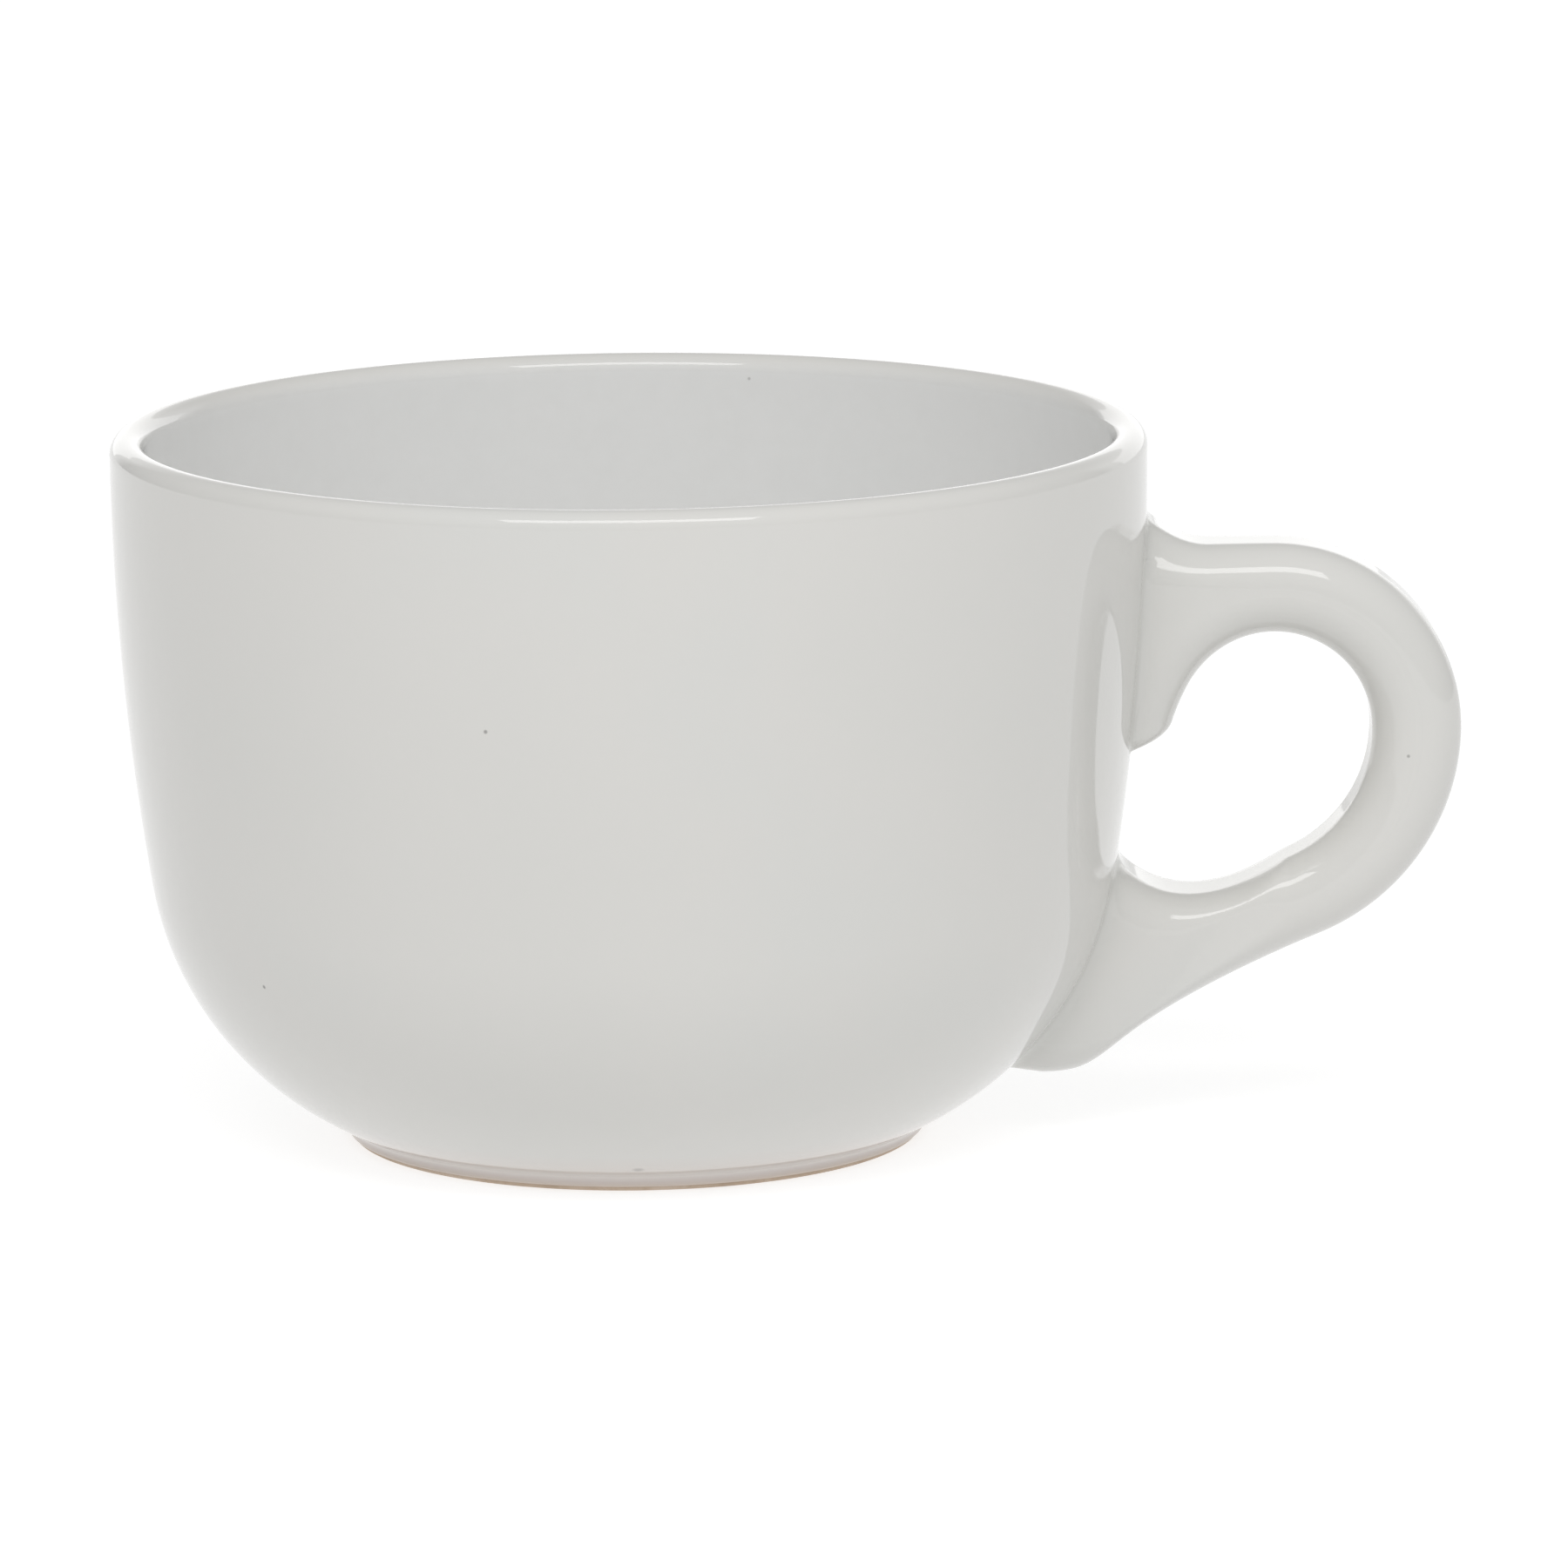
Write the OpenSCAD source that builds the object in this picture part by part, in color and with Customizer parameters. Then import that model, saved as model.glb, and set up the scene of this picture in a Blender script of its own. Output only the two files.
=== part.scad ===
// Cappuccino mug: a round stoneware cup with a cast loop handle stuck on with slip and coated in glaze.
// The cup stands on z = 0 with its axis on z, and the handle points along +x.
// Every size of the cup and handle is that of the finished, glazed surface.

/* [Cup] */
// Diameter over the rim
rim_d = 105; // [98:0.5:125]
// Height from the table to the top of the lip
cup_h = 72.5; // [68:0.5:95]
// Radius of the slight outward bow of the upper wall
wall_bow_r = 284; // [180:2:450]
// Radius of the round belly
belly_r = 33; // [29:0.5:37]
// Thickness of the wall at the rim
wall_t = 3.5; // [3:0.1:4.5]
// Radius of the outer shoulder of the lip
lip_out_r = 1.8; // [1.4:0.1:2.2]
// Radius of the hollow where wall and floor run together inside
bowl_r = 30; // [24:0.5:33]
// Thickness of the floor above the foot recess
floor_t = 4.6; // [3.5:0.1:7]

/* [Foot] */
// Diameter of the foot ring
foot_d = 59; // [50:0.5:66]
// Height of the foot ring's outer wall
foot_h = 1.5; // [1.2:0.1:3]
// Width of the ring that touches the table
foot_w = 4.2; // [3:0.1:7]
// Depth of the recess inside the foot ring
recess_h = 1.6; // [1.2:0.1:2.5]
// Radius of the wiped edges of the foot ring
foot_edge_r = 0.4; // [0.2:0.1:0.5]

/* [Handle] */
// Drop from the lip to the top face of the handle
handle_drop = 12.2; // [10:0.1:16]
// Reach of the loop beyond the rim
handle_reach = 31.8; // [28:0.1:38]
// Thickness of the loop seen from the side
handle_thick = 9.1; // [7:0.1:11]
// Thickness of the lower limb seen from the side
limb_thick = 8.5; // [6.5:0.1:10]
// Width of the loop seen from the end
handle_width = 12.6; // [10:0.2:16]
// Width of the handle where it meets the cup
root_width = 15; // [12:0.2:19]
// Radius of the handle's long edges
handle_round = 4.2; // [3:0.1:4.6]
// Radius of the upper bend along the middle of the loop
bend_r = 14.6; // [12:0.2:16]
// Height at which the lower limb runs into the cup
lower_root_z = 14; // [12.5:0.5:18]
// Fall of the lower limb towards the cup, in degrees
limb_fall = 22.5; // [15:0.5:26]
// Run of the curve under the upper limb, from the middle of the loop to the lug
lug_run = 10; // [9:0.2:12]
// Slant of the lug's lower end, in degrees
lug_slant = 20; // [10:1:22]
// Lean of the lug's inner edge towards the cup at its lower end
lug_lean = 0.4; // [0:0.1:1]
// Radius that breaks the edge of the lug's lower end
lug_end_r = 1.2; // [0.6:0.1:2]
// Height of the soft fillet where the top face meets the cup
crown_rise = 2.9; // [0.5:0.1:3.5]
// Length of that fillet along the top face
crown_run = 6.4; // [3:0.2:8]
// Height of the tail's lowest point
tail_z = 6.1; // [4:0.1:9]
// Overhang of the tail's tip beyond the cup
tail_out = 4.2; // [3:0.2:7]
// Rise of the inner fillet above the lower limb
heel_rise = 15.9; // [12:0.1:18]

/* [Glaze and slip] */
// Thickness of the glaze coats
glaze_t = 0.4; // [0.3:0.05:0.6]
// Height of the bare clay band round the foot ring
bare_h = 0.5; // [0.5:0.1:1.1]
// Thickness of the slip between the cup's clay and the handle's clay
slip_t = 0.9; // [0.7:0.1:1.5]

/* [Hidden] */
$fn = 180;

clay_colour = "#C9AD8C";
slip_colour = "#BFA283";
glaze_colour = "#F1F1EC";

// Cup outline: wall arc, belly arc and lip arcs run into each other along common normals
rim_r = rim_d / 2;
foot_r = foot_d / 2;
lip_in_r = wall_t - lip_out_r;
crest_x = rim_r - lip_out_r;
shoulder_z = cup_h - lip_out_r;
lip_in_z = cup_h - lip_in_r;
floor_z = recess_h + floor_t;
recess_r = foot_r - foot_w;
wall_c = [rim_r - wall_bow_r, shoulder_z];
belly_c = meeting_point(wall_c, wall_bow_r - belly_r, [foot_r, foot_h], belly_r);
hollow_c = [wall_c.x, lip_in_z];
hollow_r = wall_bow_r - wall_t;
bowl_z = floor_z + bowl_r;
bowl_c = [hollow_c.x + sqrt(pow(hollow_r - bowl_r, 2) - pow(bowl_z - hollow_c.y, 2)), bowl_z];
belly_top_z = tangent_point(wall_c, belly_c, wall_bow_r).y;
// Margin by which cutting shapes run past what they cut
past = 5;

// Handle frame: the middle of the loop is a level limb, two arcs and a falling limb
handle_top_z = cup_h - handle_drop;
limb_z = handle_top_z - handle_thick / 2;
loop_c = [rim_r + handle_reach - handle_thick / 2 - bend_r, limb_z - bend_r];
loop_x = loop_c.x + bend_r;
lower_rise = (loop_c.y - lower_root_z) * cos(limb_fall) - (loop_x - cup_r(lower_root_z)) * sin(limb_fall);
lower_bend_r = lower_rise / (1 - sin(limb_fall));
lower_c = [loop_x - lower_bend_r, loop_c.y];
fall_dir = [-cos(limb_fall), -sin(limb_fall)];
limb_in = arc_point(lower_c, lower_bend_r - limb_thick / 2, limb_fall - 90);
limb_out = arc_point(lower_c, lower_bend_r + limb_thick / 2, limb_fall - 90);
// Depths to which the handle's form runs into the wall before it is trimmed: the lower limb and the lug
root_sink = wall_t / 2;
lug_sink = root_sink + handle_round;
heel = [cup_r(lower_root_z + heel_rise) - root_sink, lower_root_z + heel_rise];
tail_tip = [cup_r(tail_z) + tail_out, tail_z];
tail_end = [cup_r(tail_z) - root_sink, tail_z + root_sink / 2];
// Share of the lower limb's stations that lie before the tail's tip
tail_share = 0.8;
// Height between the two roots, clear of both
roots_apart_z = (heel.y + loop_c.y) / 2;
// Pulls of the lower limb's two curves at their ends, as shares of the run between the ends
limb_pull = 0.05;
heel_pull = [0.37, -0.58];
under_pull = 0.88;
tail_pull = [0.27, 0];
// Shares of the lower limb between which its width grows to that of the root
flare_from = 0.3;
flare_to = 0.8;
// Turn about the loop over which the width grows towards the lug
lug_flare = 75;
// Angles about the loop at which the lug starts to slant and at which its end starts to round over
slant_from = 150;
slant_to = 173;
// Power that keeps the fillet towards the cup on the top face and off the handle's sides
crown_power = 3;
// Least slope that a length is divided by
least_slope = 0.001;
// Largest share of half a section that its rounded corner may take
round_share = 0.95;
// Number of stations along each stretch of the handle and of points on each rounded corner
end_steps = 3;
lug_steps = 18;
bend_steps = 9;
limb_steps = 12;
corner_steps = 4;

// Point where a circle about a and a circle about b cross, on the right of the way from a to b
function meeting_point(a, ra, b, rb) =
    let (d = norm(b - a), u = (b - a) / d, along = (d * d + ra * ra - rb * rb) / (2 * d))
    a + u * along + [-u.y, u.x] * sqrt(ra * ra - along * along);

// Point where a circle of radius r about a touches a smaller one about b from inside
function tangent_point(a, b, r) = a + (b - a) / norm(b - a) * r;

// Height at x of the line through a and b
function line_z(a, b, x) = a.y + (b.y - a.y) * (x - a.x) / (b.x - a.x);

function arc_point(c, r, angle) = c + r * [cos(angle), sin(angle)];

function bezier(p, t) =
    pow(1 - t, 3) * p[0] + 3 * t * pow(1 - t, 2) * p[1] + 3 * t * t * (1 - t) * p[2] + pow(t, 3) * p[3];

function smooth_step(t) = let (s = min(max(t, 0), 1)) s * s * (3 - 2 * s);

// Radius of the cup's outer surface at height z
function cup_r(z) = z > belly_top_z
    ? wall_c.x + sqrt(pow(wall_bow_r, 2) - pow(z - wall_c.y, 2))
    : belly_c.x + sqrt(pow(belly_r, 2) - pow(z - belly_c.y, 2));

// Half the handle's width, where share runs from 0 in the loop to 1 at the cup
function half_width(share) = (handle_width + (root_width - handle_width) * smooth_step(share)) / 2;

// Rise of the top face at p by its fillet towards the cup
function crown_z(p) = p.y < limb_z
    ? 0
    : crown_rise * pow(max(0, 1 - max(0, p.x - cup_r(handle_top_z)) / crown_run), 2);

// A station of the handle: inner edge, outer edge and half width
function lug_station(angle) =
    let (
        share = pow(max(0, (angle - slant_from) / (slant_to - slant_from)), 2),
        arch = [lug_run * cos(angle), (bend_r - handle_thick / 2) * sin(angle)],
        inner = loop_c + arch - [lug_lean * share, 0],
        turn = angle + (180 + lug_slant - slant_to) * share,
        dir = [cos(turn), sin(turn)],
        back = min(dir.x, -least_slope),
        up = max(dir.y, least_slope),
        wall_near = (cup_r(inner.y) - inner.x) / back,
        wall_x = cup_r(min(inner.y + wall_near * dir.y, handle_top_z)) - lug_sink,
        to_wall = (wall_x - inner.x) / back,
        to_top = (handle_top_z - inner.y) / up
    )
    [inner, inner + min(to_wall, to_top) * dir, half_width((angle - 90) / lug_flare)];

function bend_station(c, r, angle, thick) = [
    arc_point(c, r - thick / 2, angle),
    arc_point(c, r + thick / 2, angle),
    half_width(0)
];

// Station at a share of the lower bend, where the loop thins to the lower limb
function lower_station(share) =
    bend_station(lower_c, lower_bend_r, (limb_fall - 90) * share,
        handle_thick + (limb_thick - handle_thick) * share);

function limb_station(t) =
    let (
        in_run = norm(limb_in - heel),
        in_curve = [limb_in, limb_in + fall_dir * limb_pull * in_run, heel + heel_pull * in_run, heel],
        out_run = norm(limb_out - tail_tip),
        under = limb_out + fall_dir * under_pull * out_run,
        out_curve = [limb_out, under, tail_tip + tail_pull * out_run, tail_tip],
        inner = bezier(in_curve, t),
        outer = t < tail_share
            ? bezier(out_curve, t / tail_share)
            : tail_tip + (tail_end - tail_tip) * (t - tail_share) / (1 - tail_share)
    )
    [inner, outer, half_width((t - flare_from) / (flare_to - flare_from))];

stations = concat(
    [for (k = [0:lug_steps]) lug_station(slant_to + (90 - slant_to) * k / lug_steps)],
    [for (k = [1:bend_steps]) bend_station(loop_c, bend_r, 90 - 90 * k / bend_steps, handle_thick)],
    [for (k = [1:bend_steps]) lower_station(k / bend_steps)],
    [for (k = [1:limb_steps]) limb_station(k / limb_steps)]
);

// Rounded section between the edges of a station, grown all round and moved
function station_ring(s, grow, move = [0, 0]) =
    let (
        e = (s[1] - s[0]) / norm(s[1] - s[0]),
        mid = (s[0] + s[1]) / 2 + move,
        half_h = norm(s[1] - s[0]) / 2 + grow,
        half_w = s[2] + grow,
        r = min(handle_round + grow, round_share * half_h, round_share * half_w)
    )
    [for (q = [0:3], k = [0:corner_steps])
        let (
            a = 90 * (q + k / corner_steps),
            h = (half_h - r) * (q == 0 || q == 3 ? 1 : -1) + r * cos(a),
            w = (half_w - r) * (q < 2 ? 1 : -1) + r * sin(a),
            p = mid + e * h,
            lift = crown_z(p) * pow(max(0, cos(a)), crown_power)
        )
        [p.x, w, p.y + lift]
    ];

// Rings of the whole handle, with the lug's end rounded over
function handle_rings(grow) =
    let (
        down = (stations[0][0] - stations[1][0]) / norm(stations[0][0] - stations[1][0]),
        r = lug_end_r + grow
    )
    concat(
        [for (k = [end_steps:-1:1])
            let (a = 90 * k / end_steps)
            station_ring(stations[0], grow - r * (1 - cos(a)), r * sin(a) * down)],
        [for (s = stations) station_ring(s, grow)]
    );

// Profile of everything inside the cup's outer surface, set in from the finished surface
module outside_2d(inset) {
    axis_z = line_z(wall_c, belly_c, 0);
    side_z = line_z(wall_c, belly_c, rim_r + past);
    intersection() {
        translate(wall_c) circle(wall_bow_r - inset);
        polygon([[0, axis_z], [rim_r + past, side_z], [rim_r + past, shoulder_z], [0, shoulder_z]]);
    }
    intersection() {
        translate(belly_c) circle(belly_r - inset);
        square([rim_r, cup_h]);
    }
    square([foot_r - inset, belly_c.y]);
    translate([0, shoulder_z - past]) square([crest_x, past + lip_out_r - inset]);
    translate([crest_x, shoulder_z]) circle(lip_out_r - inset);
}

// Profile of the hollow, set out from the finished surface
module hollow_2d(outset) {
    axis_z = line_z(hollow_c, bowl_c, 0);
    side_z = line_z(hollow_c, bowl_c, rim_r);
    intersection() {
        translate(hollow_c) circle(hollow_r + outset);
        polygon([[0, axis_z], [rim_r, side_z], [rim_r, cup_h + past], [0, cup_h + past]]);
    }
    intersection() {
        translate(bowl_c) circle(bowl_r + outset);
        translate([0, floor_z - outset]) square([rim_r, cup_h]);
    }
    translate([0, floor_z - outset]) square([bowl_c.x, bowl_r]);
    difference() {
        translate([crest_x - past, lip_in_z]) square([past, lip_in_r + past]);
        translate([crest_x, lip_in_z]) circle(lip_in_r - outset);
    }
}

// Profile of the recess under the floor, set out from the finished surface
module recess_2d(outset) {
    translate([0, -past]) square([recess_r + outset, past + recess_h + outset]);
}

// Corner that is wiped off an edge of the foot ring at x, on the side given by 1 or -1
module foot_edge_2d(x, side) {
    translate([x - foot_edge_r * side, foot_edge_r])
    difference() {
        translate([side > 0 ? 0 : -past, -past]) square(past);
        circle(foot_edge_r);
    }
}

// Solid inside the cup's outer surface
module outside_form(inset) {
    rotate_extrude() outside_2d(inset);
}

// Layer of slip on the cup's clay between two heights
module slip_layer(from_z, to_z) {
    rotate_extrude()
    intersection() {
        difference() {
            outside_2d(glaze_t - slip_t);
            outside_2d(glaze_t);
        }
        translate([0, from_z]) square([rim_r + past, to_z - from_z]);
    }
}

// Solid of the handle before it is trimmed to the cup
module handle_form(grow) {
    rings = handle_rings(grow);
    sides = len(rings[0]);
    last = len(rings) - 1;
    points = [for (ring = rings, p = ring) p];
    bands = [for (k = [0:last - 1], j = [0:sides - 1])
        let (a = k * sides + j, b = k * sides + (j + 1) % sides)
        each [[a, b, a + sides], [b, b + sides, a + sides]]];
    start_cap = [for (j = [sides - 1:-1:0]) j];
    end_cap = [for (j = [0:sides - 1]) last * sides + j];
    polyhedron(points, concat([start_cap, end_cap], bands), convexity = 6);
}

// Clay cup: wall, floor and foot ring formed in one
module cup_body() {
    color(clay_colour)
    rotate_extrude()
    difference() {
        outside_2d(glaze_t);
        hollow_2d(glaze_t);
        recess_2d(glaze_t);
        foot_edge_2d(foot_r - glaze_t, 1);
        foot_edge_2d(recess_r + glaze_t, -1);
    }
}

// Clay handle: one casting that ends on the two slip joints
module handle() {
    color(clay_colour)
    difference() {
        handle_form(-glaze_t);
        outside_form(glaze_t - slip_t);
    }
}

// Slip between the handle's lug and the wall
module upper_slip_joint() {
    color(slip_colour)
    intersection() {
        handle_form(-glaze_t);
        slip_layer(roots_apart_z, shoulder_z);
    }
}

// Slip between the handle's tail and the belly
module lower_slip_joint() {
    color(slip_colour)
    intersection() {
        handle_form(-glaze_t);
        slip_layer(foot_h, roots_apart_z);
    }
}

// Glaze poured round the inside, from the floor to the crest of the lip
module inside_glaze() {
    color(glaze_colour)
    rotate_extrude()
    difference() {
        hollow_2d(glaze_t);
        hollow_2d(0);
    }
}

// Glaze on the outside, from the crest of the lip to the foot, open where the handle is stuck on
module outside_glaze() {
    color(glaze_colour)
    difference() {
        rotate_extrude()
        difference() {
            outside_2d(0);
            outside_2d(glaze_t);
            square([rim_r, bare_h]);
            translate([0, shoulder_z]) square([crest_x, lip_out_r]);
        }
        handle_form(-glaze_t);
    }
}

// Glaze round the handle and over the edges of the slip joints, down to the glaze on the cup
module handle_glaze() {
    color(glaze_colour)
    difference() {
        difference() {
            handle_form(0);
            outside_form(0);
        }
        handle_form(-glaze_t);
    }
}

// Glaze on the ceiling and side of the recess inside the foot ring
module foot_recess_glaze() {
    color(glaze_colour)
    rotate_extrude()
    difference() {
        recess_2d(glaze_t);
        recess_2d(0);
        translate([0, -past]) square([foot_r, past + bare_h]);
    }
}

cup_body();
handle();
upper_slip_joint();
lower_slip_joint();
inside_glaze();
outside_glaze();
handle_glaze();
foot_recess_glaze();
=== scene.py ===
import math

import bmesh
import bpy
import numpy as np
from mathutils import Matrix, Vector


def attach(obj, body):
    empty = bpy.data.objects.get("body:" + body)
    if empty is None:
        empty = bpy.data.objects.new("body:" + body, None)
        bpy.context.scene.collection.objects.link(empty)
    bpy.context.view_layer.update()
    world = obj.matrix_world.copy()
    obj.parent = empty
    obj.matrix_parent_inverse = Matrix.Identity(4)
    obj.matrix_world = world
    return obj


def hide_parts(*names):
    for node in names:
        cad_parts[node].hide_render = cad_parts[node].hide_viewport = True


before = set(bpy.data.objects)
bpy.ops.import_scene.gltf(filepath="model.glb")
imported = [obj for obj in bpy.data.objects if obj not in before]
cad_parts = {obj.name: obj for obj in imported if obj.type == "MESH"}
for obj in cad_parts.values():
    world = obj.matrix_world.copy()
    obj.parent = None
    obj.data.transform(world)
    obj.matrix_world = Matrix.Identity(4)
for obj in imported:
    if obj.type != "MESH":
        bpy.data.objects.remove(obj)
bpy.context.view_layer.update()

MM = 0.001

# Cup sizes in millimetres, the same as in the solids
RIM_R = 52.5
CUP_H = 72.5
BOW_R = 284.0
BELLY_R = 33.0
WALL_T = 3.5
LIP_OUT_R = 1.8
LIP_IN_R = WALL_T - LIP_OUT_R
BOWL_R = 30.0
FLOOR_Z = 6.2
FOOT_R = 29.5
FOOT_H = 1.5
FOOT_W = 4.2
RECESS_Z = 1.6
FOOT_EDGE_R = 0.4
GLAZE_T = 0.4
BARE_H = 0.5

# Handle sizes in millimetres and degrees, the same as in the solids
HANDLE_TOP = 60.3
HANDLE_REACH = 31.8
THICK = 9.1
LIMB_THICK = 8.5
WIDTH = 12.6
ROOT_WIDTH = 15.0
EDGE_R = 4.2
BEND_R = 14.6
LOWER_ROOT_Z = 14.0
LIMB_FALL = 22.5
LUG_RUN = 10.0
LUG_SLANT = 20.0
LUG_LEAN = 0.4
LUG_END_R = 1.2
CROWN_RISE = 2.9
CROWN_RUN = 6.4
TAIL_Z = 6.1
TAIL_OUT = 4.2
HEEL_RISE = 15.9
SINK = WALL_T / 2
LUG_SINK = SINK + EDGE_R

# Form of the handle, the same as in the solids: pulls of its curves, and ends of its slant and flares
LIMB_PULL = 0.05
HEEL_PULL = np.array([0.37, -0.58])
UNDER_PULL = 0.88
TAIL_PULL = np.array([0.27, 0.0])
TAIL_SHARE = 0.8
FLARE_FROM = 0.3
FLARE_TO = 0.8
LUG_FLARE = 75.0
SLANT_FROM = 150.0
SLANT_TO = 173.0
CROWN_POWER = 3
LEAST_SLOPE = 0.001
ROUND_SHARE = 0.95

# Pooled glaze, which only the scene has: radii at the handle's roots, at the foot and in the recess
FILLET_R = 1.3
FILLET_LOSS = 0.6
LUG_END_LOSS = 1.4
CROWN_BAND = 1.0
# Reach of the darker tone at the handle's roots: pooled glaze, and painted shade in the crease
POOL_AND_CREASE_SHADE_REACH = 2.2 * FILLET_R
FOOT_POOL_R = 1.1
COVE_R = 0.6

# Steps of the meshes: their counts and shares, their packing along the limb, and the finer band at the wall
FLOOR_RINGS = (0.8, 0.55, 0.3, 0.1, 0)
FOOT_RINGS = (0.35, 0.65)
RECESS_RINGS = (0, 0.25, 0.5, 0.75)
LATHE_STEPS = 240
LUG_STEPS = 72
BEND_STEPS = 44
LIMB_STEPS = 72
END_STEPS = 8
CORNER_STEPS = 10
LONG_SIDE_STEPS = 22
SHORT_SIDE_STEPS = 10
LIMB_PACKING = 1.4
FINE_BAND = (-0.8, 1.8)
FINE_CUTS = 3

# Light: level of the room and its rise towards the bright side, and powers of the lamps in watts
ROOM = 0.42
KEY = 0.39
KEY_DIRECTION = (0.10, -0.60, 0.79)
KEY_SPAN = (0.2, 1.0)
FRONT_W = 4.6
BACK_W = 1.6

# Floor: tone, glow on the mug, glow where it is seen, and half its side and its height in metres
FLOOR_TONE = (0.45, 0.45, 0.45)
FLOOR_GLOW = 0.44
FLOOR_SEEN = 0.73
FLOOR_HALF = 3.0
FLOOR_LEVEL = -0.0001

# Backdrop behind the mug, as seen in reflections: the spans of direction over which its edges fade
BACKDROP_FRONT = (0.35, 0.55)
BACKDROP_LEFT = (-0.60, -0.42)
BACKDROP_RIGHT = (1.0, 1.3)
BACKDROP_TOP = (0.3, 0.5)


def vec(x, y):
    return np.array([x, y], float)


def meeting_point(a, ra, b, rb):
    d = np.linalg.norm(b - a)
    u = (b - a) / d
    along = (d * d + ra * ra - rb * rb) / (2 * d)
    return a + u * along + vec(-u[1], u[0]) * math.sqrt(ra * ra - along * along)


def arc(c, r, start, end, steps):
    angles = np.radians(np.linspace(start, end, steps + 1))
    return [vec(c[0] + r * math.cos(a), c[1] + r * math.sin(a)) for a in angles]


def heading(a, b):
    return math.degrees(math.atan2(b[1] - a[1], b[0] - a[0]))


CREST_X = RIM_R - LIP_OUT_R
LIP_OUT_C = vec(CREST_X, CUP_H - LIP_OUT_R)
LIP_IN_C = vec(CREST_X, CUP_H - LIP_IN_R)
WALL_C = vec(RIM_R - BOW_R, LIP_OUT_C[1])
BELLY_C = meeting_point(WALL_C, BOW_R - BELLY_R, vec(FOOT_R, FOOT_H), BELLY_R)
HOLLOW_C = vec(WALL_C[0], LIP_IN_C[1])
HOLLOW_R = BOW_R - WALL_T
BOWL_Z = FLOOR_Z + BOWL_R
BOWL_OUT = math.sqrt((HOLLOW_R - BOWL_R) ** 2 - (BOWL_Z - HOLLOW_C[1]) ** 2)
BOWL_C = vec(HOLLOW_C[0] + BOWL_OUT, BOWL_Z)
BELLY_TURN = heading(WALL_C, BELLY_C)
BOWL_TURN = heading(HOLLOW_C, BOWL_C)
BELLY_TOP = WALL_C[1] + BOW_R * math.sin(math.radians(BELLY_TURN))
RECESS_R = FOOT_R - FOOT_W


def outer_path(inset):
    """Outside of the cup from the crest of the lip to the foot, with glaze pooled where the belly ends."""
    r = BELLY_R - inset
    pool_x = FOOT_R - inset + FOOT_POOL_R
    pool_c = vec(pool_x, BELLY_C[1] - math.sqrt((r + FOOT_POOL_R) ** 2 - (pool_x - BELLY_C[0]) ** 2))
    path = arc(LIP_OUT_C, LIP_OUT_R - inset, 90, 0, steps=20)
    path += arc(WALL_C, BOW_R - inset, 0, BELLY_TURN, steps=64)[1:]
    path += arc(BELLY_C, r, BELLY_TURN, heading(BELLY_C, pool_c), steps=56)[1:]
    path += arc(pool_c, FOOT_POOL_R, heading(pool_c, BELLY_C), 180, steps=8)[1:]
    return path


def inner_path(outset):
    """Inside of the cup from the crest of the lip to the middle of the floor."""
    path = arc(LIP_IN_C, LIP_IN_R - outset, 90, 180, steps=14)
    path += arc(HOLLOW_C, HOLLOW_R + outset, 0, BOWL_TURN, steps=56)[1:]
    path += arc(BOWL_C, BOWL_R + outset, BOWL_TURN, -90, steps=44)[1:]
    path += [vec(BOWL_C[0] * share, FLOOR_Z - outset) for share in FLOOR_RINGS]
    return path


def link_object(name, mesh, sharp):
    """Shades a mesh smoothly, apart from edges over an angle, and puts it in the scene."""
    mesh.shade_smooth()
    mesh.set_sharp_from_angle(angle=math.radians(sharp))
    obj = bpy.data.objects.new(name, mesh)
    bpy.context.collection.objects.link(obj)
    return obj


def make_object(name, verts, faces):
    mesh = bpy.data.meshes.new(name)
    mesh.from_pydata([tuple(v) for v in verts], [], faces)
    mesh.validate()
    mesh.update()
    return link_object(name, mesh, sharp=40)


def lathe(name, profile):
    """Turns a profile about the z axis. Its ends become poles on the axis, or else they are joined."""
    verts, rings = [], []
    for x, z in profile:
        if x == 0:
            rings.append([len(verts)])
            verts.append((0, 0, z * MM))
            continue
        rings.append(list(range(len(verts), len(verts) + LATHE_STEPS)))
        for k in range(LATHE_STEPS):
            a = 2 * math.pi * k / LATHE_STEPS
            verts.append((x * MM * math.cos(a), x * MM * math.sin(a), z * MM))
    pairs = list(zip(rings, rings[1:]))
    if len(rings[0]) > 1:
        pairs.append((rings[-1], rings[0]))
    faces = []
    for a, b in pairs:
        for k in range(LATHE_STEPS):
            n = (k + 1) % LATHE_STEPS
            if len(a) == 1:
                faces.append((a[0], b[k], b[n]))
            elif len(b) == 1:
                faces.append((a[k], b[0], a[n]))
            else:
                faces.append((a[k], b[k], b[n], a[n]))
    return make_object(name, verts, faces)


# Coat outside, which ends in a bead above the foot's bare edge
bead = GLAZE_T / 2
outside = outer_path(0)
outside += arc(vec(FOOT_R - bead, BARE_H + bead), bead, 0, -180, steps=10)
outside += outer_path(GLAZE_T)[::-1]
outside_coat = lathe("outside_glaze_coat", outside[::-1])

# Coat inside
inside_coat = lathe("inside_glaze_coat", inner_path(0)[::-1] + inner_path(GLAZE_T))

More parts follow.
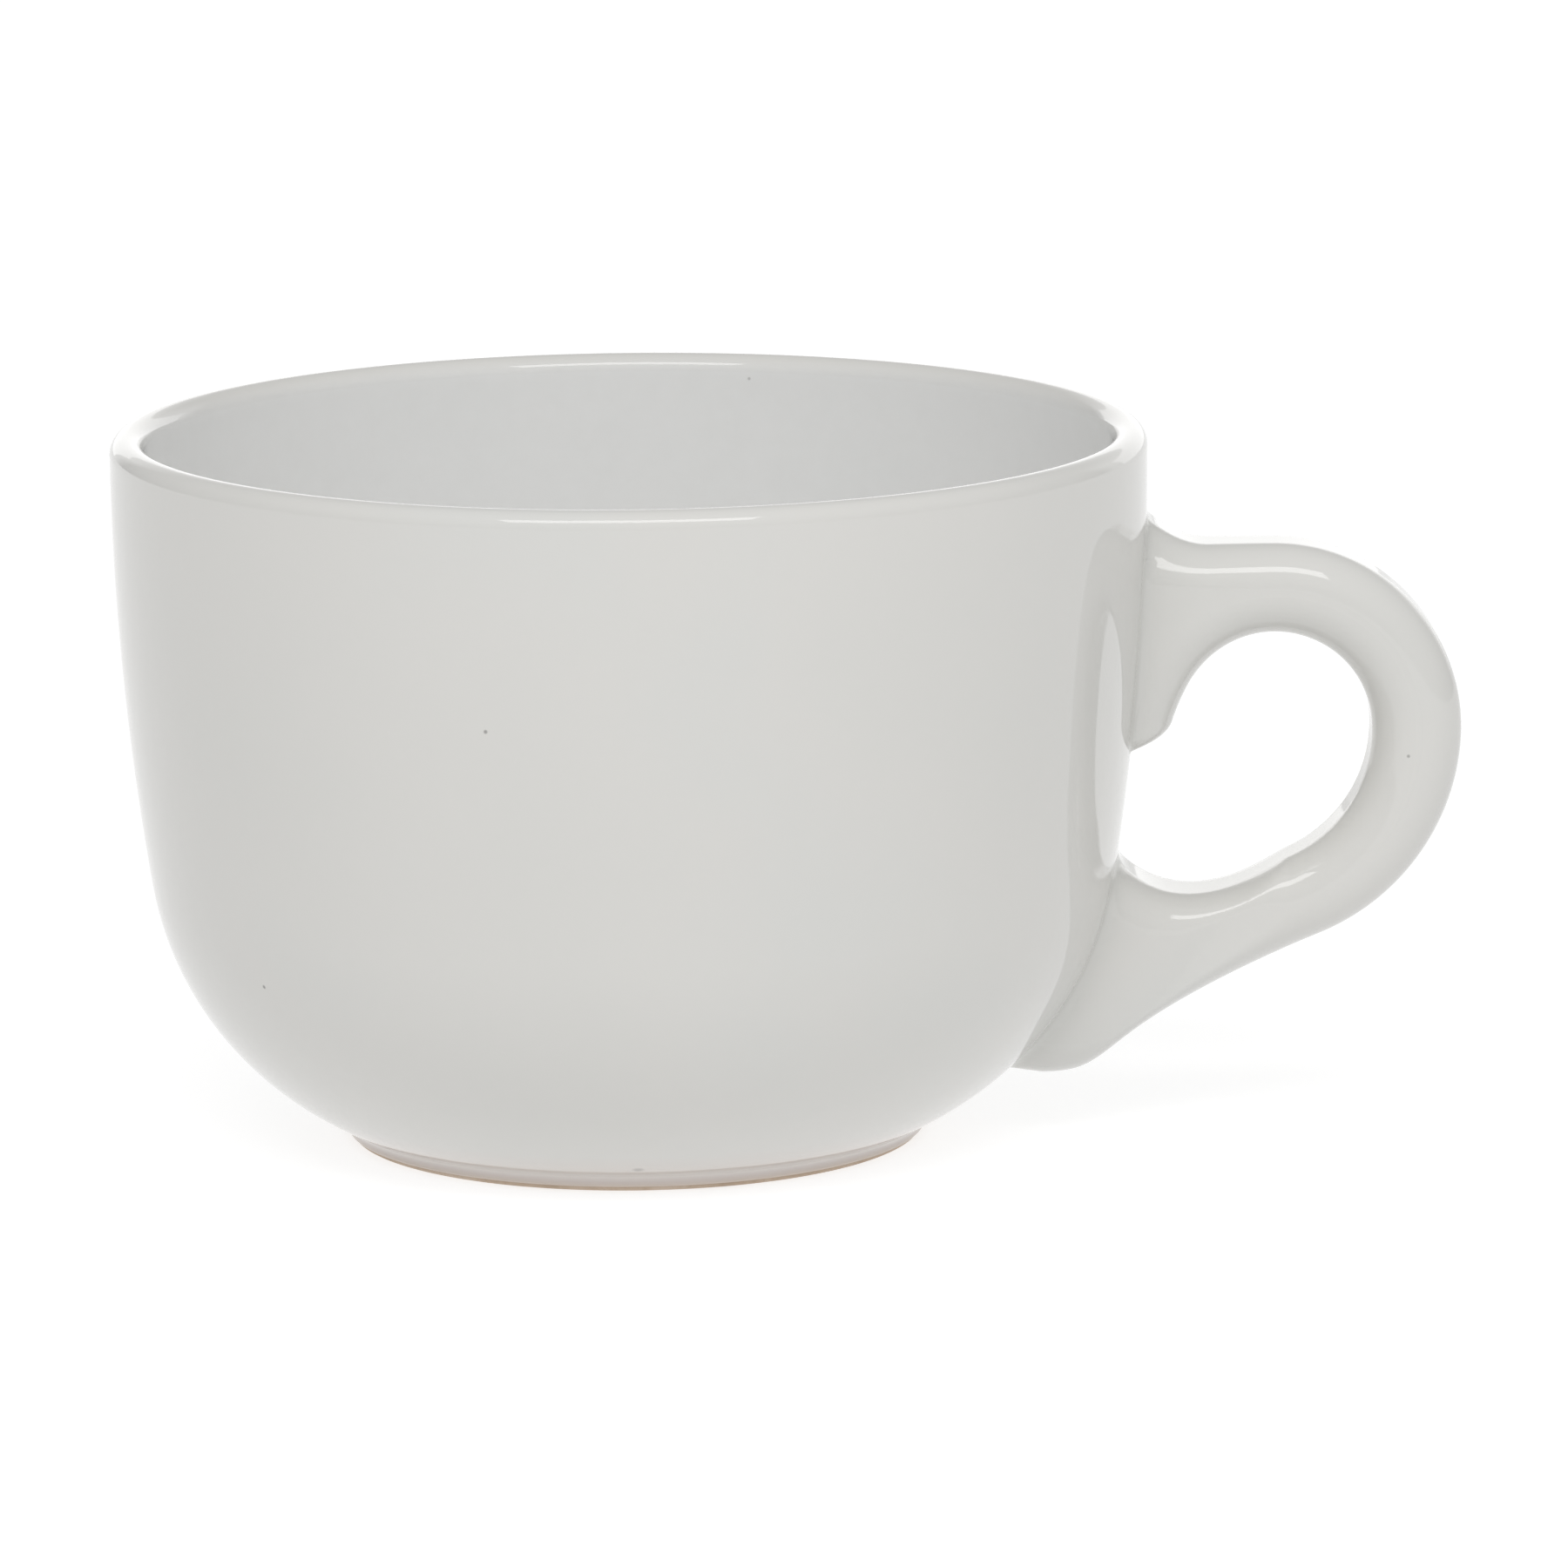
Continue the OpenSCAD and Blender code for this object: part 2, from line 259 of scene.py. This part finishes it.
# Clay of the cup, between the coats
recess_top = [vec(RECESS_R + GLAZE_T, RECESS_Z + GLAZE_T), vec(0, RECESS_Z + GLAZE_T)]
edge_out = vec(FOOT_R - GLAZE_T - FOOT_EDGE_R, FOOT_EDGE_R)
edge_in = vec(RECESS_R + GLAZE_T + FOOT_EDGE_R, FOOT_EDGE_R)
clay = inner_path(GLAZE_T)[::-1] + outer_path(GLAZE_T)[1:]
clay += arc(edge_out, FOOT_EDGE_R, 0, -90, steps=8)
clay += [vec(edge_out[0] + (edge_in[0] - edge_out[0]) * share, 0) for share in FOOT_RINGS]
clay += arc(edge_in, FOOT_EDGE_R, -90, -180, steps=8)
cup_clay = lathe("cup_clay", (clay + recess_top)[::-1])

# Coat in the recess under the floor
cove_c = vec(RECESS_R - COVE_R, RECESS_Z - COVE_R)
recess = [vec(cove_c[0] * share, RECESS_Z) for share in RECESS_RINGS]
recess += arc(cove_c, COVE_R, 90, 0, steps=8)
recess += arc(vec(RECESS_R + bead, BARE_H + bead), bead, 180, 360, steps=8)[1:]
recess_coat = lathe("foot_recess_coat", recess + recess_top)


# Handle: stations along the loop, each with an inner edge, an outer edge and half a width
def cup_r(z):
    if z > BELLY_TOP:
        return WALL_C[0] + math.sqrt(BOW_R ** 2 - (z - WALL_C[1]) ** 2)
    return BELLY_C[0] + math.sqrt(BELLY_R ** 2 - (z - BELLY_C[1]) ** 2)


def smooth_step(t):
    s = min(max(t, 0), 1)
    return s * s * (3 - 2 * s)


def half_width(share):
    return (WIDTH + (ROOT_WIDTH - WIDTH) * smooth_step(share)) / 2


def bezier(p, t):
    s = 1 - t
    return s ** 3 * p[0] + 3 * t * s ** 2 * p[1] + 3 * t * t * s * p[2] + t ** 3 * p[3]


def point_at(c, r, angle):
    return vec(c[0] + r * math.cos(angle), c[1] + r * math.sin(angle))


LOOP_C = vec(RIM_R + HANDLE_REACH - THICK / 2 - BEND_R, HANDLE_TOP - THICK / 2 - BEND_R)
LOOP_X = LOOP_C[0] + BEND_R
FALL = -point_at(vec(0, 0), 1, math.radians(LIMB_FALL))
LIMB_START = math.radians(LIMB_FALL - 90)
LOWER_RISE = (LOOP_X - cup_r(LOWER_ROOT_Z)) * FALL[1] - (LOOP_C[1] - LOWER_ROOT_Z) * FALL[0]
LOWER_R = LOWER_RISE / (1 + FALL[1])
LOWER_C = vec(LOOP_X - LOWER_R, LOOP_C[1])
LIMB_IN = point_at(LOWER_C, LOWER_R - LIMB_THICK / 2, LIMB_START)
LIMB_OUT = point_at(LOWER_C, LOWER_R + LIMB_THICK / 2, LIMB_START)
HEEL_Z = LOWER_ROOT_Z + HEEL_RISE
HEEL = vec(cup_r(HEEL_Z) - SINK, HEEL_Z)
TAIL_TIP = vec(cup_r(TAIL_Z) + TAIL_OUT, TAIL_Z)
TAIL_END = vec(cup_r(TAIL_Z) - SINK, TAIL_Z + SINK / 2)


def crown_z(p):
    """Rise of the top face by its fillet towards the cup."""
    if p[1] < HANDLE_TOP - THICK / 2:
        return 0
    return CROWN_RISE * max(0, 1 - max(0, p[0] - cup_r(HANDLE_TOP)) / CROWN_RUN) ** 2


def lug_station(angle):
    a = math.radians(angle)
    share = max(0, (angle - SLANT_FROM) / (SLANT_TO - SLANT_FROM)) ** 2
    inner = LOOP_C + vec(LUG_RUN * math.cos(a) - LUG_LEAN * share, (BEND_R - THICK / 2) * math.sin(a))
    turn = a + math.radians(180 + LUG_SLANT - SLANT_TO) * share
    d = vec(math.cos(turn), math.sin(turn))
    back, up = min(d[0], -LEAST_SLOPE), max(d[1], LEAST_SLOPE)
    near = (cup_r(inner[1]) - inner[0]) / back
    wall_x = cup_r(min(inner[1] + near * d[1], HANDLE_TOP)) - LUG_SINK
    reach = min((wall_x - inner[0]) / back, (HANDLE_TOP - inner[1]) / up)
    return inner, inner + reach * d, half_width((angle - 90) / LUG_FLARE)


def bend_station(c, r, angle, thick):
    a = math.radians(angle)
    return point_at(c, r - thick / 2, a), point_at(c, r + thick / 2, a), half_width(0)


def lower_station(share):
    thick = THICK + (LIMB_THICK - THICK) * share
    return bend_station(LOWER_C, LOWER_R, (LIMB_FALL - 90) * share, thick)


def limb_station(t):
    run = np.linalg.norm(LIMB_IN - HEEL)
    inner = bezier([LIMB_IN, LIMB_IN + FALL * LIMB_PULL * run, HEEL + HEEL_PULL * run, HEEL], t)
    if t < TAIL_SHARE:
        run = np.linalg.norm(LIMB_OUT - TAIL_TIP)
        pulled = [LIMB_OUT, LIMB_OUT + FALL * UNDER_PULL * run, TAIL_TIP + TAIL_PULL * run, TAIL_TIP]
        outer = bezier(pulled, t / TAIL_SHARE)
    else:
        outer = TAIL_TIP + (TAIL_END - TAIL_TIP) * (t - TAIL_SHARE) / (1 - TAIL_SHARE)
    return inner, outer, half_width((t - FLARE_FROM) / (FLARE_TO - FLARE_FROM))


stations = [lug_station(SLANT_TO + (90 - SLANT_TO) * k / LUG_STEPS) for k in range(LUG_STEPS + 1)]
stations += [bend_station(LOOP_C, BEND_R, 90 - 90 * k / BEND_STEPS, THICK) for k in range(1, BEND_STEPS + 1)]
stations += [lower_station(k / BEND_STEPS) for k in range(1, BEND_STEPS + 1)]
stations += [limb_station(1 - (1 - k / LIMB_STEPS) ** LIMB_PACKING) for k in range(1, LIMB_STEPS + 1)]


def ring(station, shrink=0.0, move=0.0):
    """Rounded section with its points packed towards the ends of its sides, its top raised by the crown."""
    inner, outer, half_w = station
    length = np.linalg.norm(outer - inner)
    e = (outer - inner) / length
    mid = (inner + outer) / 2 + move
    half_h, half_w = length / 2 - shrink, half_w - shrink
    r = min(EDGE_R - shrink, ROUND_SHARE * half_h, ROUND_SHARE * half_w)
    corners = []
    for q, (h_sign, w_sign) in enumerate(((1, 1), (-1, 1), (-1, -1), (1, -1))):
        c = vec((half_h - r) * h_sign, (half_w - r) * w_sign)
        corners.append(arc(c, r, 90 * q, 90 * (q + 1), CORNER_STEPS))
    flat = []
    for q, corner in enumerate(corners):
        flat += corner
        side = corners[(q + 1) % 4][0] - corner[-1]
        count = SHORT_SIDE_STEPS if q % 2 else LONG_SIDE_STEPS
        flat += [corner[-1] + side * (0.5 - 0.5 * math.cos(math.pi * k / count)) for k in range(1, count)]
    points = []
    for h, w in flat:
        p = mid + e * h
        cap = max(0, h - half_h + r) / r
        points.append(np.array([p[0], w, p[1] + crown_z(p) * cap ** CROWN_POWER]))
    return points


rings = []
down = stations[0][0] - stations[1][0]
down /= np.linalg.norm(down)
for k in range(END_STEPS, 0, -1):
    a = math.pi / 2 * k / END_STEPS
    rings.append(ring(stations[0], LUG_END_R * (1 - math.cos(a)), LUG_END_R * math.sin(a) * down))
rings += [ring(s) for s in stations]
skin = np.array(rings)


def wall_gap(points):
    """Distance of points from the outside of the cup, and the normals of the cup there."""
    radius = np.hypot(points[:, 0], points[:, 1])
    flat = np.stack([radius, points[:, 2]], axis=-1)
    high = flat[:, 1] > BELLY_TOP
    from_centre = np.where(high[:, None], flat - WALL_C, flat - BELLY_C)
    reach = np.linalg.norm(from_centre, axis=-1)
    out, rise = (from_centre / reach[:, None]).T
    normals = np.stack([out * points[:, 0] / radius, out * points[:, 1] / radius, rise], axis=-1)
    return reach - np.where(high, BOW_R, BELLY_R), normals


# The loft as a mesh, made finer near the cup, then flared there into a fillet of pooled glaze
count, sides = skin.shape[:2]
loft = bmesh.new()
grid = [loft.verts.new(tuple(v)) for v in skin.reshape(-1, 3)]
for k in range(count - 1):
    for j in range(sides):
        n = (j + 1) % sides
        quad = (k * sides + j, k * sides + n, (k + 1) * sides + n, (k + 1) * sides + j)
        loft.faces.new([grid[i] for i in quad])
loft.faces.new(grid[sides - 1::-1])
loft.faces.new(grid[(count - 1) * sides:])
gap, _ = wall_gap(skin.reshape(-1, 3))
close = {v for v, g in zip(grid, gap) if FINE_BAND[0] < g < FINE_BAND[1]}
fine = [e for e in loft.edges if e.verts[0] in close and e.verts[1] in close]
bmesh.ops.subdivide_edges(loft, edges=fine, cuts=FINE_CUTS, use_grid_fill=True)
bmesh.ops.recalc_face_normals(loft, faces=loft.faces[:])
loft.normal_update()

# The fillet is smaller on the crown and on faces that look down, and smallest under the lug's end
place = np.array([v.co[:] for v in loft.verts])
normal = np.array([v.normal[:] for v in loft.verts])
gap, wall = wall_gap(place)
slide = normal - wall * np.sum(normal * wall, axis=1, keepdims=True)
crown = np.clip(normal[:, 2], 0, 1) * (place[:, 2] > HANDLE_TOP - CROWN_BAND)
under = np.clip(-normal[:, 2], 0, 1) * np.where(place[:, 2] < HEEL_Z, 1, LUG_END_LOSS)
fillet_r = FILLET_R * (1 - FILLET_LOSS * np.maximum(crown, under))
near = np.clip(1 - gap / fillet_r, 0, 1)
place = place + slide * (fillet_r * (1 - np.sqrt(1 - near ** 2)))[:, None]
place = place + wall * np.maximum(0, -SINK - gap)[:, None]
for v, co in zip(loft.verts, place):
    v.co = co * MM
mesh = bpy.data.meshes.new("handle_glaze_coat")
loft.to_mesh(mesh)
loft.free()
handle_coat = link_object("handle_glaze_coat", mesh, sharp=60)

# How thickly the glaze has pooled at the roots, which also serves as painted shade in the crease there, for
# the handle's material
pool_and_crease_shade = np.clip(1 - np.maximum(gap, 0) / POOL_AND_CREASE_SHADE_REACH, 0, 1) ** 2
layer = mesh.attributes.new("pool_and_crease_shade", "FLOAT", "POINT")
layer.data.foreach_set("value", pool_and_crease_shade.astype(np.float32))


# Materials
class Graph:
    """Adds nodes to a node tree. An input takes a socket, a number, a vector or a colour without alpha."""

    def __init__(self, tree):
        self.nodes, self.links = tree.nodes, tree.links

    def add(self, kind, inputs=None, **settings):
        node = self.nodes.new(kind)
        for name, value in settings.items():
            setattr(node, name, value)
        for key, value in (inputs or {}).items():
            socket = node.inputs[key]
            if isinstance(value, bpy.types.NodeSocket):
                self.links.new(value, socket)
            elif socket.type == "RGBA":
                socket.default_value = (*value, 1)
            else:
                socket.default_value = value
        return node

    def noise(self, place, scale, detail=3.0, rough=0.5):
        inputs = {"Vector": place, "Scale": scale, "Detail": detail, "Roughness": rough}
        return self.add("ShaderNodeTexNoise", inputs).outputs["Fac"]

    def ramp(self, value, stops):
        """Colour and share of it by stops, each a position, a colour and its share."""
        node = self.add("ShaderNodeValToRGB", {"Fac": value})
        line = node.color_ramp
        while len(line.elements) < len(stops):
            line.elements.new(0.5)
        for element, (at, colour, share) in zip(line.elements, stops):
            element.position = at
            element.color = (*colour, share)
        return node.outputs["Color"], node.outputs["Alpha"]

    def blend(self, value, positions, tones):
        """Colour that runs through tones at positions of their own."""
        return self.ramp(value, [(at, tone, 1) for at, tone in zip(positions, tones)])[0]

    def spread(self, value, span, onto=(0, 1)):
        """Value moved from one span onto another, and held at its ends."""
        inputs = {"From Min": span[0], "From Max": span[1], "To Min": onto[0], "To Max": onto[1]}
        return self.add("ShaderNodeMapRange", {"Value": value, **inputs}).outputs["Result"]

    def mix(self, share, a, b):
        inputs = {"Factor": share, "A": a, "B": b}
        return self.add("ShaderNodeMix", inputs, data_type="RGBA").outputs["Result"]

    def combine(self, operation, a, b):
        return self.add("ShaderNodeMath", {0: a, 1: b}, operation=operation).outputs["Value"]

    def bump(self, height, strength, distance):
        inputs = {"Height": height, "Strength": strength, "Distance": distance}
        return self.add("ShaderNodeBump", inputs).outputs["Normal"]

    def seen_rays(self):
        """Camera and transmission rays, and glossy rays apart from them."""
        rays = self.add("ShaderNodeLightPath").outputs
        seen = self.combine("MAXIMUM", rays["Is Camera Ray"], rays["Is Transmission Ray"])
        return seen, rays["Is Glossy Ray"]


# Tones of the marks in the glaze, their shares, and the spans of noise that they and the clay are made from
NOISE_SPAN = (0.3, 0.7)
DRIFT_STOPS = (0.3, 0.55, 0.75)
CLOUD_TONE = (0.69, 0.69, 0.66)
CLOUD_SPAN = (0.35, 0.7)
CLOUD_SHARE = 0.06
# Tone at the handle's roots: pooled glaze, and painted shade in the crease at the wall
POOL_AND_CREASE_SHADE_TONE = (0.60, 0.61, 0.575)
POOL_AND_CREASE_SHADE_SHARE = 0.3
PORE_TONE = (0.30, 0.28, 0.25)
PORE_SPAN = (0.9, 1.0)
PORE_R = 0.022
PORE_SHARE = 0.55
SPECK_TONE = (0.22, 0.21, 0.20)
SPECK_CORE = 0.4
GLAZE_ROUGHNESS = (0.03, 0.06)
CLAY_STOPS = (0.28, 0.5, 0.72)
GRAIN_SPAN = (0.52, 0.72)
GRAIN_SHARE = 0.4
CLAY_ROUGHNESS = (0.72, 0.92)


def new_material(name):
    mat = bpy.data.materials.new(name)
    mat.use_nodes = True
    graph = Graph(mat.node_tree)
    shader = next(n for n in graph.nodes if n.type == "BSDF_PRINCIPLED")
    return mat, graph, shader, graph.add("ShaderNodeTexCoord").outputs["Object"]


def glaze(name, tones, specks=(), tints_with_painted_light=(), pooled_and_crease_shaded=False):
    """Glossy glaze with fine pores, specks (place, radius, depth) and tints (height, colour, share), which
    at the foot hold painted light; pooled roots get a darker tone that is partly painted shade.
    """
    mat, graph, shader, place = new_material(name)
    tone = graph.blend(graph.noise(place, scale=28, detail=2), DRIFT_STOPS, tones)
    cloud = graph.noise(place, scale=420, detail=4, rough=0.6)
    tone = graph.mix(graph.spread(cloud, CLOUD_SPAN, (0, CLOUD_SHARE)), tone, CLOUD_TONE)
    # Darker tone at the handle's roots: pooled glaze, and painted shade in the crease
    if pooled_and_crease_shaded:
        pooling_and_crease_shade = graph.add("ShaderNodeAttribute", attribute_name="pool_and_crease_shade").outputs["Fac"]
        tone = graph.mix(graph.spread(pooling_and_crease_shade, (0, 1), (0, POOL_AND_CREASE_SHADE_SHARE)), tone, POOL_AND_CREASE_SHADE_TONE)
    # Tints by height: at the foot thin glaze and painted light on the crease, at the lip the fade of the
    # inside's painted light
    if tints_with_painted_light:
        low, high = tints_with_painted_light[0][0], tints_with_painted_light[-1][0]
        height = graph.add("ShaderNodeSeparateXYZ", {"Vector": place}).outputs["Z"]
        stops = [((z - low) / (high - low), colour, share) for z, colour, share in tints_with_painted_light]
        tint_with_painted_light, tint_with_painted_light_share = graph.ramp(graph.spread(height, (low * MM, high * MM)), stops)
        tone = graph.mix(tint_with_painted_light_share, tone, tint_with_painted_light)
    cells = graph.add("ShaderNodeTexVoronoi", {"Vector": place, "Scale": 95}).outputs
    chance = graph.add("ShaderNodeSeparateColor", {"Color": cells["Color"]}).outputs["Red"]
    pore = graph.combine("LESS_THAN", cells["Distance"], graph.spread(chance, PORE_SPAN, (0, PORE_R)))
    tone = graph.mix(graph.spread(pore, (0, 1), (0, PORE_SHARE)), tone, PORE_TONE)
    for at, r, depth in specks:
        points = {0: place, 1: tuple(c * MM for c in at)}
        far = graph.add("ShaderNodeVectorMath", points, operation="DISTANCE").outputs["Value"]
        tone = graph.mix(graph.spread(far, (SPECK_CORE * r * MM, r * MM), (depth, 0)), tone, SPECK_TONE)
    graph.links.new(tone, shader.inputs["Base Color"])
    gloss = graph.noise(place, scale=60, detail=2)
    graph.links.new(graph.spread(gloss, NOISE_SPAN, GLAZE_ROUGHNESS), shader.inputs["Roughness"])
    shader.inputs["IOR"].default_value = 1.52
    ripple = graph.noise(place, scale=130, detail=2, rough=0.4)
    graph.links.new(graph.bump(ripple, strength=0.10, distance=0.0003), shader.inputs["Normal"])
    return mat


def fired_clay(name, dark, mid, light):
    """Bare clay with a mottled tone, dark grain and a gritty surface."""
    mat, graph, shader, place = new_material(name)
    mottle = graph.noise(place, scale=140, detail=5, rough=0.65)
    tone = graph.blend(mottle, CLAY_STOPS, (dark, mid, light))
    grain = graph.noise(place, scale=2600, detail=3, rough=0.7)
    tone = graph.mix(graph.spread(grain, GRAIN_SPAN, (0, GRAIN_SHARE)), tone, dark)
    graph.links.new(tone, shader.inputs["Base Color"])
    wear = graph.noise(place, scale=700, detail=3)
    graph.links.new(graph.spread(wear, NOISE_SPAN, CLAY_ROUGHNESS), shader.inputs["Roughness"])
    grit = graph.noise(place, scale=1900, detail=5, rough=0.7)
    graph.links.new(graph.bump(grit, strength=0.5, distance=0.0002), shader.inputs["Normal"])
    return mat


OUTSIDE_TONES = ((0.728, 0.724, 0.697), (0.742, 0.734, 0.707), (0.730, 0.732, 0.709))
# The same white glaze inside, painted lighter than outside: painted light that stands in for light inside
# the cup
INSIDE_TONES_PAINTED_LIGHTER = ((0.866, 0.868, 0.857), (0.881, 0.881, 0.871), (0.871, 0.874, 0.864))
OUTSIDE_SPECKS = [
    ((-14.2, -49.8, 50.7), 0.26, 0.7),
    ((-36.8, -30.6, 21.6), 0.28, 0.75),
    ((0.1, -32.5, 3.0), 0.75, 0.45),
    ((25.7, -19.0, 2.7), 0.30, 0.7),
]
INSIDE_SPECKS = [((12.8, 47.3, 70.1), 0.22, 0.4)]
HANDLE_SPECKS = [((78.6, -6.3, 38.9), 0.24, 0.6)]
# Tints near the foot by height: warm thin glaze low down, then a band painted lighter than the glaze,
# painted light on the shaded crease above the foot
FOOT_TINTS_AND_PAINTED_LIGHT = [
    (0.6, (0.745, 0.655, 0.575), 1),
    (1.0, (0.745, 0.675, 0.635), 1),
    (1.3, (0.780, 0.725, 0.695), 1),
    (1.5, (0.815, 0.770, 0.735), 1),
    (1.9, (0.830, 0.795, 0.760), 1),
    (2.3, (0.745, 0.690, 0.650), 0.8),
    (5.0, (0.745, 0.690, 0.650), 0),
]
# At the crest the inside coat fades from its painted-lighter tones to about the outside glaze's tone
LIP_FADE_OF_PAINTED_LIGHT = [(70.7, (0.725, 0.716, 0.688), 0), (72.2, (0.725, 0.716, 0.688), 1)]

outside_mat = glaze("white_glaze_outside", OUTSIDE_TONES, OUTSIDE_SPECKS, FOOT_TINTS_AND_PAINTED_LIGHT)
inside_painted_lighter_mat = glaze("white_glaze_inside_painted_lighter", INSIDE_TONES_PAINTED_LIGHTER, INSIDE_SPECKS, LIP_FADE_OF_PAINTED_LIGHT)
handle_mat = glaze("white_glaze_handle", OUTSIDE_TONES, HANDLE_SPECKS, pooled_and_crease_shaded=True)
clay_mat = fired_clay("bare_stoneware", (0.54, 0.415, 0.305), (0.69, 0.555, 0.435), (0.775, 0.655, 0.55))
slip_mat = fired_clay("fired_slip", (0.38, 0.275, 0.19), (0.50, 0.38, 0.275), (0.58, 0.46, 0.35))

for obj, mat, slot, node in (
    (outside_coat, outside_mat, "white_glaze", "outside_glaze"),
    (inside_coat, inside_painted_lighter_mat, "white_glaze", "inside_glaze"),
    (recess_coat, inside_painted_lighter_mat, "white_glaze", "foot_recess_glaze"),
    (handle_coat, handle_mat, "white_glaze", "handle_glaze"),
    (cup_clay, clay_mat, "stoneware", "cup_body"),
):
    obj.data.materials.append(mat)
    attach(obj, "root")
    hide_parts(node)

# Solids that stay, hidden inside the coats
for node, mat in (("handle", clay_mat), ("upper_slip_joint", slip_mat), ("lower_slip_joint", slip_mat)):
    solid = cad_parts[node]
    solid.data.materials.clear()
    solid.data.materials.append(mat)

# Stage: a pale floor that stays white to the camera and keeps the mug's shadow
signs = ((-1, -1), (1, -1), (1, 1), (-1, 1))
corners = [(x * FLOOR_HALF, y * FLOOR_HALF, FLOOR_LEVEL) for x, y in signs]
floor = make_object("floor", corners, [(0, 1, 2, 3)])
floor_mat = bpy.data.materials.new("pale_floor")
floor_mat.use_nodes = True
graph = Graph(floor_mat.node_tree)
graph.nodes.clear()
seen, glossy = graph.seen_rays()
seen = graph.combine("MAXIMUM", seen, glossy)
matt = graph.add("ShaderNodeBsdfDiffuse", {"Color": FLOOR_TONE})
level = graph.spread(seen, (0, 1), (FLOOR_GLOW, FLOOR_SEEN))
glow = graph.add("ShaderNodeEmission", {"Strength": level})
both = graph.add("ShaderNodeAddShader", {0: matt.outputs["BSDF"], 1: glow.outputs["Emission"]})
graph.add("ShaderNodeOutputMaterial", {"Surface": both.outputs["Shader"]})
floor.data.materials.append(floor_mat)

# World: white where seen and where reflections show the backdrop, and elsewhere a room with a bright side
world = bpy.data.worlds.new("studio")
world.use_nodes = True
bpy.context.scene.world = world
graph = Graph(world.node_tree)
graph.nodes.clear()
direction = graph.add("ShaderNodeTexCoord").outputs["Generated"]
axes = graph.add("ShaderNodeSeparateXYZ", {"Vector": direction}).outputs
aside = graph.combine("DIVIDE", axes["X"], axes["Y"])
behind = graph.spread(axes["Y"], BACKDROP_FRONT)
behind = graph.combine("MULTIPLY", behind, graph.spread(aside, BACKDROP_LEFT))
behind = graph.combine("MULTIPLY", behind, graph.spread(aside, BACKDROP_RIGHT, (1, 0)))
behind = graph.combine("MULTIPLY", behind, graph.spread(axes["Z"], BACKDROP_TOP, (1, 0)))
seen, glossy = graph.seen_rays()
seen = graph.combine("MAXIMUM", seen, graph.combine("MULTIPLY", glossy, behind))
facing = graph.add("ShaderNodeVectorMath", {0: direction, 1: KEY_DIRECTION}, operation="DOT_PRODUCT")
room = graph.spread(facing.outputs["Value"], KEY_SPAN, (ROOM, ROOM + KEY))
strength = graph.add("ShaderNodeMix", {"Factor": seen, "A": room, "B": 1.0}).outputs["Result"]
background = graph.add("ShaderNodeBackground", {"Color": (1, 1, 1), "Strength": strength})
graph.add("ShaderNodeOutputWorld", {"Surface": background.outputs["Background"]})

# Lamps: a softbox above the camera, and a low one behind the mug for the light edges of lip and handle
LAMP_AIM = Vector((0, 0, 0.04))
for name, at, size, power in (
    ("front_box", (0.0, -0.85, 1.05), (1.1, 0.35), FRONT_W),
    ("back_box", (0.25, 1.5, 0.30), (1.9, 0.5), BACK_W),
):
    lamp_data = bpy.data.lights.new(name, "AREA")
    lamp_data.shape = "RECTANGLE"
    lamp_data.size, lamp_data.size_y = size
    lamp_data.energy = power
    lamp = bpy.data.objects.new(name, lamp_data)
    lamp.location = at
    lamp.rotation_euler = (LAMP_AIM - Vector(at)).to_track_quat("-Z", "Y").to_euler()
    bpy.context.collection.objects.link(lamp)

# Camera: fitted to the ellipses of the rim and the foot in the photograph
CAMERA_AT = Vector((0.0, -1.04943, 0.23857))
CAMERA_RIGHT = Vector((0.99982784, -0.01637041, -0.00873540))
CAMERA_UP = Vector((0.01168405, 0.18972705, 0.98176735))
CAMERA_BACK = Vector((-0.01441459, -0.98170039, 0.18988566))
camera_data = bpy.data.cameras.new("camera")
camera_data.sensor_width = 36
camera_data.lens = 240.927
camera = bpy.data.objects.new("camera", camera_data)
turned = Matrix((CAMERA_RIGHT, CAMERA_UP, CAMERA_BACK)).transposed().to_4x4()
camera.matrix_world = Matrix.Translation(CAMERA_AT) @ turned
bpy.context.collection.objects.link(camera)
bpy.context.scene.camera = camera
bpy.context.scene.view_settings.view_transform = "Standard"
